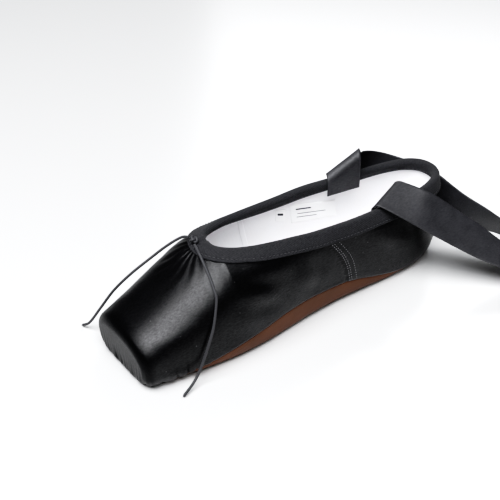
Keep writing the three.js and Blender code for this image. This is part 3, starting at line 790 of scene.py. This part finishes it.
def make_insole():
    lifted = UNDER.place - UNDER.normal * INSOLE_LIFT
    low = lifted[..., 2] <= insole_top(lifted) - INSOLE_EDGE
    start = UNDER.measure[np.argmax(low, axis=0), np.arange(cols)]
    full = UNDER.measure[-1]
    rings = []
    for r in range(INSOLE_ROWS, -1, -1):
        place, normal = UNDER.sample("measure", start + (full - start) * r / INSOLE_ROWS)
        rings.append(place - normal * INSOLE_LIFT)
    edge, centre = rings[-1], rings[0]
    for inward in np.linspace(0, 1, INSOLE_ROWS + 1):
        ring = edge + (centre - edge) * inward
        ring[:, 2] = insole_top(ring) - 0.35 * math.exp(-inward * 30)
        rings.append(ring)
    points = np.vstack(rings)
    return facing_out(make_mesh("canvas_insole", points, grid_faces(len(rings), cols), [LINING]))


finish_piece(make_insole(), "lining", "insole")


# ---- binding ----
def binding_section():
    """Section of the folded tape: how far down, from which face of the wall, how far off it."""
    out = MEET_GAP + BINDING_THICKNESS
    inner = LINING_SPACE + BINDING_THICKNESS
    fold = BINDING_THICKNESS * 0.7
    deep, inside = BINDING_OUTER_DEPTH, BINDING_INNER_DEPTH
    rows = [(deep + 0.05, 0, MEET_GAP + 0.15), (deep, 0, out - 0.35), (deep - 0.4, 0, out - 0.08)]
    rows += [(d, 0, out) for d in np.linspace(deep - 1.0, deep - 2.6, 5)]
    rows += [(d, 0, out) for d in np.linspace(deep - 3.4, MEET_GAP, 8)]
    rows += [(-MEET_GAP - fold, 0, fold), (-out, 0.5, 0), (-MEET_GAP - fold, 1, -fold)]
    rows += [(d, 1, -inner) for d in np.linspace(MEET_GAP, inside - 0.3, 7)]
    rows += [(inside, 1, -inner + 0.3), (inside, 1, -LINING_SPACE)]
    rows += [(inside / 2, 1, -LINING_SPACE), (-MEET_GAP, 1, -LINING_SPACE), (-MEET_GAP, 0, MEET_GAP)]
    rows += [(deep / 2, 0, MEET_GAP), (deep, 0, MEET_GAP)]
    return rows


STITCH_LINE = 1.8


def make_binding():
    rings, width = [], []
    total = 0.0
    previous = None
    for down, face, off in binding_section():
        place, normal = SIDE.sample("length", down)
        outer_side = face == 0 and off > MEET_GAP
        reach, angle = round_the_knot(place)
        pucker = 0.45 * bell(reach, 13) * np.sin(angle * 15)
        seam = -0.22 * bell(BINDING_OUTER_DEPTH - down - STITCH_LINE, 0.55)
        along = place[:, 1] * 0.9 + place[:, 0]
        ease = 0.10 * np.sin(along / 4.2) + 0.06 * np.sin(along / 1.7 + 1)
        give = (pucker + ease * ramp(down / 3) + seam) if outer_side else 0
        ring = place + normal * (off - face * wall_at(place) + give)[:, None]
        rings.append(ring)
        if previous is not None:
            total += float(np.median(np.linalg.norm(ring - previous, axis=1)))
        width.append(np.full(cols, total))
        previous = ring
    rim = rings[len(rings) // 2]
    along = run_along(rim)
    uv = np.vstack([np.stack([along, w], -1) for w in width])
    points = np.vstack(rings)
    faces = grid_faces(len(rings), cols, True, True)
    return facing_out(make_mesh("twill_binding", points, faces, [TWILL], uv=uv))


finish_piece(make_binding(), "twill", "binding")


# ---- stitches ----
def capsule():
    """One stitch lying along X: a short rounded bar, one unit long and one unit thick."""
    points = []
    profile = [(-0.5, 0.0), (-0.46, 0.28), (-0.3, 0.46), (0, 0.5), (0.3, 0.46), (0.46, 0.28), (0.5, 0.0)]
    sides = 6
    for x, r in profile:
        for k in range(sides):
            angle = 2 * math.pi * k / sides
            points.append((x, r * math.cos(angle), r * math.sin(angle)))
    return np.array(points), grid_faces(len(profile), sides)


def stitches(name, places, directions, normals, length, thickness, sink, material, slot_name):
    """A row of stitches as one mesh."""
    shape, faces = capsule()
    points, quads = [], []
    for place, along, up in zip(places, directions, normals):
        along = unit(along)
        up = unit(up - along * np.dot(up, along))
        side = np.cross(up, along)
        size = np.array([length, thickness, thickness]) * (1 + 0.12 * rng.uniform(-1, 1, 3))
        tilt = rng.uniform(-0.12, 0.12)
        lengthwise = along * math.cos(tilt) + side * math.sin(tilt)
        across = side * math.cos(tilt) - along * math.sin(tilt)
        quads.append(faces + len(points) * len(shape))
        points.append(shape * size @ np.array([lengthwise, across, up]) + place + up * (thickness / 2 - sink))
    finish_piece(make_mesh(name, np.vstack(points), np.vstack(quads), [material]), slot_name)


BINDING_STITCH = {"length": 1.5, "thickness": 0.4, "sink": 0.14}
BINDING_PITCH = 2.6


def ring_stitches(name, down, face, off):
    """Stitches that follow the collar at a depth below its edge, on one face of the wall."""
    place, normal = SIDE.sample("length", down)
    line = place + normal * (off - face * wall_at(place))[:, None]
    loop = np.vstack([line, line[:1]])
    run = run_along(loop)
    at = np.arange(0, run[-1] - BINDING_PITCH / 2, BINDING_PITCH)
    places = at_run(at, run, loop)
    ups = at_run(at, run, np.vstack([normal, normal[:1]]) * (1 - 2 * face))
    ahead = at_run(at + 0.5, run, loop) - places
    ahead[-1] = ahead[-2]
    stitches(name, places, ahead, ups, **BINDING_STITCH, material=DARK_THREAD, slot_name="twill")


ring_stitches("binding_stitches", BINDING_OUTER_DEPTH - STITCH_LINE, 0, MEET_GAP + BINDING_THICKNESS)
ring_stitches("binding_stitches_inside", BINDING_INNER_DEPTH - 1.4, 1, -LINING_SPACE - BINDING_THICKNESS)


def on_wall(points, lining=False):
    """The nearest place for each point on the satin's side, or on the lining, with the normal there."""
    wall, normals = SIDE.place, SIDE.normal
    if lining:
        wall, normals = wall - normals * wall_at(wall)[..., None], -normals
    flat, normals = wall.reshape(-1, 3), normals.reshape(-1, 3)
    index = np.linalg.norm(points[:, None, :] - flat[None, :, :], axis=-1).argmin(1)
    offset = np.sum((points - flat[index]) * normals[index], -1, keepdims=True)
    return points - offset * normals[index], normals[index]


SEAM_PITCH = 2.0
SEAM_ROW_SHIFTS = (1.2, 2.9, 6.6)


def seam_rows():
    """Rows of stitches behind each side seam's folded edge."""
    for side, label in ((1, "near"), (-1, "far")):
        for k, shift in enumerate(SEAM_ROW_SHIFTS):
            route = spline(np.array(SIDE_SEAM) + [0, shift, 0], 200)
            run = run_along(route)
            at = np.arange(1.0, run[-1] - 1.0, SEAM_PITCH)
            places, normals = on_wall(at_run(at, run, route) * [side, 1, 1])
            ahead = np.gradient(places, axis=0)
            stitches(
                f"seam_stitches_{label}_{k}", places + normals * 0.3, ahead, normals,
                0.8, 0.42, 0.08, PALE_THREAD, "satin",
            )


seam_rows()


def back_seam_stitches():
    heel = np.array([(0, SHOE_LENGTH / 2 - 1, z) for z in np.arange(6, 44, SEAM_PITCH)], float)
    for side, name in ((-2.0, "back_stitches_far"), (2.0, "back_stitches_near")):
        places, normals = on_wall(heel + [side, 0, 0])
        ahead = np.gradient(places, axis=0)
        stitches(name, places + normals * 0.28, ahead, normals, 1.2, 0.3, 0.1, DARK_THREAD, "satin")


back_seam_stitches()


# ---- inside: labels and seam strips ----
def wall_patch(name, side, corners, lift, material, across=40, down=22):
    """A flat patch sewn to the lining between four corners given as y and z."""
    (y0, z0), (y1, z1), (y2, z2), (y3, z3) = corners
    u, v = np.meshgrid(np.linspace(0, 1, across), np.linspace(0, 1, down))
    u, v = u.ravel(), v.ravel()
    y = (y0 * (1 - u) + y1 * u) * (1 - v) + (y3 * (1 - u) + y2 * u) * v
    z = (z0 * (1 - u) + z1 * u) * (1 - v) + (z3 * (1 - u) + z2 * u) * v
    points, normals = on_wall(np.stack([np.full_like(y, 26.0 * side), y, z], -1), lining=True)
    edge = np.minimum.reduce([u * across, (1 - u) * across, v * down, (1 - v) * down])
    height = lift * (0.35 + 0.65 * np.clip(edge / 1.5, 0, 1)) + 0.05 * np.sin(y / 3.1) * np.sin(z / 2.7)
    top = points + normals * height[:, None]
    foot = points - normals * 0.05
    top, foot = top.reshape(down, across, 3), foot.reshape(down, across, 3)
    finish_piece(slab(name, top, foot, material), "lining")


wall_patch("label_small", -1, [(9.5, 48), (17.5, 44.8), (19, 34.4), (11, 37.6)], 0.45, LABEL)
wall_patch("label_large", -1, [(21, 46.5), (60, 35.5), (63, 21.5), (24, 31)], 0.5, LABEL)

# Plain dark bars printed on the labels, as thin raised strips.
LABEL_BARS = {
    "label_small_bar": [[(11.2, 45.0), (16.4, 42.9), (17.0, 39.4), (11.8, 41.5)]],
    "label_large_bar": [
        [(25, 42.8), (40, 38.6), (40.6, 36.2), (25.6, 40.4)],
        [(26, 38.2), (54, 30.4), (54.2, 29.4), (26.2, 37.2)],
        [(26.4, 35.4), (46, 29.9), (46.2, 28.9), (26.6, 34.4)],
    ],
}
for bar_name, bars in LABEL_BARS.items():
    for number, bar in enumerate(bars):
        wall_patch(f"{bar_name}_{number}", -1, bar, 0.62, PRINT, 16, 4)

SEAM_STRIP = [(-19, 50), (-15, 49.5), (-5, 13), (-9, 13)]
wall_patch("seam_strip_far", -1, SEAM_STRIP, 0.4, LINING, 8, 40)
wall_patch("seam_strip_near", 1, SEAM_STRIP, 0.4, LINING, 8, 40)

# ---- ribbons ----
RIBBON_WIDTH = 24.0
NEAR_FOLD = {
    "side": 1, "crest": (16.2, 61.5, 57.2), "slant": 15, "lean": 15, "turn": 112, "roll": 4.3, "sewn": 14,
}
FAR_FOLD = {
    "side": -1, "crest": (-17.4, 59.5, 59.8), "slant": 27, "lean": 8, "turn": 104, "roll": 4.3, "sewn": 14,
}
FOLD_ROWS = 6
# Centre line behind the fold (x, y, z), then the direction up across the ribbon; the free end is last.
NEAR_ROUTE = [
    (36, 76, 54.5, -0.35, 0.81, 0.47), (43, 88, 45, -0.36, 0.8, 0.47), (49, 97, 37.5, -0.35, 0.87, 0.35),
    (56, 106, 30.5, -0.35, 0.91, 0.2), (64, 115, 23.5, -0.36, 0.93, 0.05),
    (72, 122.5, 18.5, -0.38, 0.92, 0), (82, 131, 14.5, -0.4, 0.87, 0.25),
    (93, 139.5, 12.6, -0.4, 0.65, 0.65), (105, 148.5, 12.4, -0.3, 0.35, 0.9),
    (118, 161, 12.4, -0.25, 0.15, 0.96), (125, 178, 12.4, -0.25, 0, 0.97),
    (121, 196, 12.4, -0.2, -0.1, 0.97), (107, 209, 12.4, -0.1, -0.2, 0.97), (88, 216, 12.2, 0, -0.3, 0.95),
    (68, 221, 11.6, 0, -0.4, 0.91), (49, 227, 11.4, 0, -0.42, 0.9), (33, 237, 12.1, 0, -0.2, 0.98),
    (26, 251, 12.6, 0, 0, 1), (32, 265, 12.4, -0.1, 0.2, 0.97), (47, 274, 10.4, -0.1, 0.55, 0.82),
    (65, 277, 6.6, 0, 0.87, 0.48), (84, 277, 2.2, 0.03, 1, 0.08),
]
FAR_ROUTE = [
    (-25.5, 68, 60, 0.25, 0.84, 0.48), (-29.5, 76, 54.5, 0.2, 0.72, 0.66),
    (-32.5, 87, 48.5, 0.15, 0.5, 0.85), (-31.5, 98, 43.5, 0.1, 0.3, 0.95), (-25.5, 109, 39, 0, 0.15, 0.99),
    (-17, 118, 35.5, -0.05, 0.05, 1), (-6.5, 124.5, 32.5, -0.1, 0, 1), (5.5, 128.5, 28.5, -0.05, -0.05, 1),
    (18, 133, 24.2, 0.05, -0.15, 0.98), (30.5, 139.5, 20.2, 0.2, -0.3, 0.93),
    (43, 147.5, 16, 0.36, -0.4, 0.84), (55.5, 156.5, 13.2, 0.25, -0.25, 0.93),
    (68, 165.5, 12.5, 0.05, -0.05, 1), (80, 175.5, 12.5, -0.1, 0.05, 0.99), (86, 187, 12.6, -0.1, 0, 0.99),
    (80.5, 197.5, 12.6, 0, -0.05, 1), (68, 200.5, 12.4, 0.05, -0.15, 0.98),
    (54, 196.5, 12.1, 0.08, -0.22, 0.97), (40, 190.5, 12, 0.08, -0.25, 0.96),
    (25, 187, 12.1, 0, -0.22, 0.97), (11, 190, 12.6, 0, 0, 1), (4, 200.5, 12.6, 0, 0, 1),
    (9, 212, 12.6, 0, 0.1, 0.99),
]


def folded_edges(side, crest, slant, lean, turn, roll, sewn):
    """Lines across the ribbon from the sewn end to the end of the roll over the collar."""
    tilt, swing = math.radians(slant), math.radians(lean) * side

    def turned(x, y, z):
        cos, sin = math.cos(swing), math.sin(swing)
        return np.array([x * cos - y * sin, x * sin + y * cos, z])

    along = turned(0, math.cos(tilt), math.sin(tilt))
    rise = turned(0, -math.sin(tilt), math.cos(tilt))
    out = turned(side, 0, 0)
    middle = np.array(crest, float)
    reach = RIBBON_WIDTH / (2 * math.cos(tilt))
    rows = []
    for depth in (sewn, sewn / 2):
        centre = middle - [0, 0, depth]
        level = turned(0, RIBBON_WIDTH / 2, 0)
        rows.append((centre - level, centre + level))
    for i in range(FOLD_ROWS + 1):
        angle = math.radians(turn * i / FOLD_ROWS)
        centre = middle + rise * math.sin(angle) * roll + out * (1 - math.cos(angle)) * roll
        centre = centre + along * angle * roll * math.tan(tilt)
        rows.append((centre - along * reach, centre + along * reach))
    return rows


def catmull(points, at):
    """Place on a centripetal Catmull-Rom curve through the points, each piece an equal share."""
    p = np.asarray(points, float)
    p = np.vstack([2 * p[0] - p[1], p, 2 * p[-1] - p[-2]])
    spot = np.clip(at, 0, 1) * (len(p) - 3)
    i = np.minimum(spot.astype(int), len(p) - 4)
    w = (spot - i)[:, None]
    a, b, c, d = p[i], p[i + 1], p[i + 2], p[i + 3]

    def gap(u, v):
        return np.maximum(np.linalg.norm(v - u, axis=1, keepdims=True) ** 0.5, 1e-4)

    d0, d1, d2 = gap(a, b), gap(b, c), gap(c, d)
    t1 = ((b - a) / d0 - (c - a) / (d0 + d1) + (c - b) / d1) * d1
    t2 = ((c - b) / d1 - (d - b) / (d1 + d2) + (d - c) / d2) * d1
    return b + t1 * w + (-3 * b + 3 * c - 2 * t1 - t2) * w**2 + (2 * b - 2 * c + t1 + t2) * w**3


def route_edges(route):
    centres = np.array([r[:3] for r in route], float)
    share = np.arange(len(route)) / (len(route) - 1)
    step = 1e-4
    tangents = catmull(centres, np.minimum(share + step, 1)) - catmull(centres, np.maximum(share - step, 0))
    rows = []
    for centre, tangent, row in zip(centres, unit(tangents), route):
        up = np.array(row[3:], float)
        up = unit(up - tangent * np.dot(up, tangent)) * RIBBON_WIDTH / 2
        rows.append((centre - up, centre + up))
    return rows


RIBBON_STEPS = 9
RIBBON_ACROSS = 20


def make_ribbon(name, fold, route):
    rows = folded_edges(**fold) + route_edges(route)
    steps = (len(rows) - 1) * RIBBON_STEPS
    at = np.linspace(0, 1, steps + 1)
    low = catmull([r[0] for r in rows], at)
    high = catmull([r[1] for r in rows], at)
    middle = (low + high) / 2
    run = run_along(middle)
    face = unit(np.cross(np.gradient(middle, axis=0), high - low))
    v = np.linspace(-1, 1, RIBBON_ACROSS + 1)
    cup = 0.35 * (v[None, :] ** 2 - 0.3) * np.sin(run / 31.0 + 0.8)[:, None]
    edge_wave = 0.30 * np.sign(v)[None, :] * np.abs(v[None, :]) ** 5 * np.sin(run / 6.3)[:, None]
    slow = 0.25 * np.sin(run / 11.0 + 1.0)[:, None] * np.cos(v[None, :] * 1.3)
    settle = ramp((run - 30) / 30)[:, None]
    lift = (cup + edge_wave + slow) * settle
    sheet = low[:, None, :] + (high - low)[:, None, :] * ((v + 1) / 2)[None, :, None]
    sheet = sheet + face[:, None, :] * lift[..., None]
    selvedge = 0.16 + 0.12 * bell(1 - np.abs(v), 0.05)
    half = selvedge[None, :, None] * face[:, None, :]
    lowest = (-np.inf, -np.inf, FLOOR_GAP)
    obj = slab(name, np.maximum(sheet + half, lowest), np.maximum(sheet - half, lowest), RIBBON_SATIN)
    finish_piece(obj, "ribbon", name.replace("satin_", ""))


make_ribbon("satin_ribbon_near", NEAR_FOLD, NEAR_ROUTE)
make_ribbon("satin_ribbon_far", FAR_FOLD, FAR_ROUTE)

# ---- drawstring ----
CORD_RADIUS = 0.8
DRAWSTRING_NEAR = [
    (-1.6, -65.0, 64.6), (6.4, -66.6, 62.0), (17.2, -68.6, 56.4), (24.6, -70.0, 50.8), (28.4, -71.2, 46.2),
    (33.2, -76.6, 34.0), (35.0, -81.0, 25.6), (35.2, -86.0, 13.4), (36.8, -92.5, 5.0), (40.4, -102.8, 1.2),
]
DRAWSTRING_FAR = [
    (-9.4, -63.8, 65.0), (-14.0, -66.0, 63.0), (-18.5, -73.0, 57.6), (-22.5, -83.0, 50.0),
    (-25.5, -94.0, 42.5), (-29.0, -104.0, 33.0), (-35.0, -111.0, 19.0),
    (-42.0, -115.5, 6.0), (-47.8, -118.0, 1.2),
]
KNOT_PLACE = (-5.2, -63.2, 65.4)


def braided_end(name, node, route, with_pieces=()):
    """A thin round cord with the small beads of its braid, and a whipped tip."""
    line = spline(route, 420)
    run = run_along(line)
    sides = 14
    angle = np.linspace(0, 2 * math.pi, sides, endpoint=False)
    beads = np.sin(run[:, None] * 3.4 + angle[None, :] * 3) * np.sin(run[:, None] * 3.4 - angle[None, :] * 3)
    taper = 1 + 0.09 * beads
    taper *= (0.55 + 0.45 * ramp((run[-1] - run) / 1.5))[:, None]
    obj = tube(name, line, CORD_RADIUS, CORD, sides, taper)
    finish_piece(obj, "cord", node)


def make_knot():
    """Overhand knot of the same cord, pulled tight."""
    t = np.linspace(0, 2 * math.pi, 160, endpoint=False)
    x = np.sin(t) + 2 * np.sin(2 * t)
    y = np.cos(t) - 2 * np.cos(2 * t)
    z = -np.sin(3 * t)
    line = np.stack([x * 0.78, y * 0.62, z * 0.8], -1)
    line = np.vstack([line, line[:1]]) + KNOT_PLACE
    obj = tube("cord_knot", line, CORD_RADIUS * 0.95, CORD, 12)
    return finish_piece(obj, "cord", "drawstring_knot")


braided_end("cord_end_near", "drawstring_end_near", DRAWSTRING_NEAR, [make_knot()])
braided_end("cord_end_far", "drawstring_end_far", DRAWSTRING_FAR)


# ---- floor and light ----
FLOOR_HALF = 4000.0


def make_floor():
    looks = Looks("floor")
    inputs = {"Base Color": (0.62, 0.62, 0.615, 1), "Roughness": 0.22, "Specular IOR Level": 0.55}
    looks.fill(looks.shader, inputs)
    corners = np.array([(-1, -1, 0), (1, -1, 0), (1, 1, 0), (-1, 1, 0)]) * FLOOR_HALF
    make_mesh("floor", corners, [(0, 1, 2, 3)], [looks.material], smooth=False)


make_floor()


def area_light(name, place, aim, width, depth, power):
    data = bpy.data.lights.new(name, "AREA")
    data.shape = "RECTANGLE"
    data.size, data.size_y = width, depth
    data.energy = power
    data.color = (0.965, 0.975, 1.0)
    light = add_object(name, data)
    light.location = place
    light.rotation_euler = (Vector(aim) - Vector(place)).to_track_quat("-Z", "Y").to_euler()


area_light("softbox_above", (0.3, -0.5, 1.2), (0, 0, 0), 1.4, 0.8, 36)
area_light("softbox_behind", (-1.0, 1.1, 0.9), (0, 0.05, 0), 0.9, 0.9, 9)

world = bpy.data.worlds.new("studio")
world.use_nodes = True
sky = world.node_tree.nodes["Background"]
sky.inputs["Color"].default_value = (1, 1, 1, 1)
sky.inputs["Strength"].default_value = 0.12
bpy.context.scene.world = world


def set_tones():
    """Plain display with deep blacks and a light floor."""
    view = bpy.context.scene.view_settings
    view.view_transform = "Standard"
    view.use_curve_mapping = True
    curve = view.curve_mapping.curves[3]
    for shade, shown in ((0.02, 0.006), (0.06, 0.04), (0.16, 0.155), (0.35, 0.46), (0.6, 0.74)):
        curve.points.new(shade, shown)
    view.curve_mapping.update()


set_tones()
